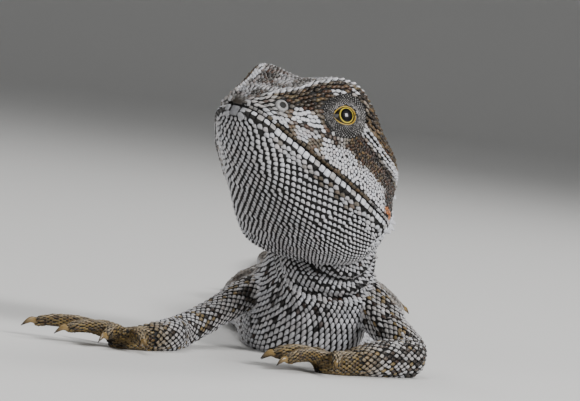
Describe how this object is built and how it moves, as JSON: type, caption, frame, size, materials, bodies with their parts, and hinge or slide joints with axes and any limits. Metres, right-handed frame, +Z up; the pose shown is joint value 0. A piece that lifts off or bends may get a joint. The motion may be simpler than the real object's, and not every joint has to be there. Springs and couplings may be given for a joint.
{
  "type": "rankins dragon lizard model",
  "caption": "Still life-size model of a small spiny bearded lizard lying with its chest raised and its head lifted and turned.",
  "frame": {"origin": "on the floor under the belly", "axes": "+Z up; the animal faces -Y with its tail towards +Y; +X is its left side"},
  "size_m": [0.0667, 0.262, 0.042],
  "materials": {
    "head_skin": "dry keeled scales, pale grey and gold-brown over dark skin",
    "throat_skin": "dry pale grey pointed scales over near-black skin",
    "body_skin": "dry overlapping keeled scales, pale grey-white over dark brown skin",
    "tail_skin": "dry keeled scales with soft dark bands",
    "toe_skin": "small tan and gold-brown scales",
    "eye": "wet dark eye with a thin yellow ring",
    "claw": "horn, pale at the root and dark at the tip"
  },
  "bodies": {
    "root": {"head": "head_skin", "lower_jaw": "throat_skin", "eye_left": "eye", "eye_right": "eye", "neck": "body_skin", "chest": "body_skin", "belly": "body_skin", "hips": "body_skin", "tail_base": "tail_skin", "tail_middle": "tail_skin", "tail_end": "tail_skin", "upper_arm_left": "body_skin", "forearm_left": "body_skin", "hand_left": "toe_skin", "thigh_left": "body_skin", "shin_left": "body_skin", "foot_left": "toe_skin", "upper_arm_right": "body_skin", "forearm_right": "body_skin", "hand_right": "toe_skin", "thigh_right": "body_skin", "shin_right": "body_skin", "foot_right": "toe_skin"}
  },
  "joints": []
}
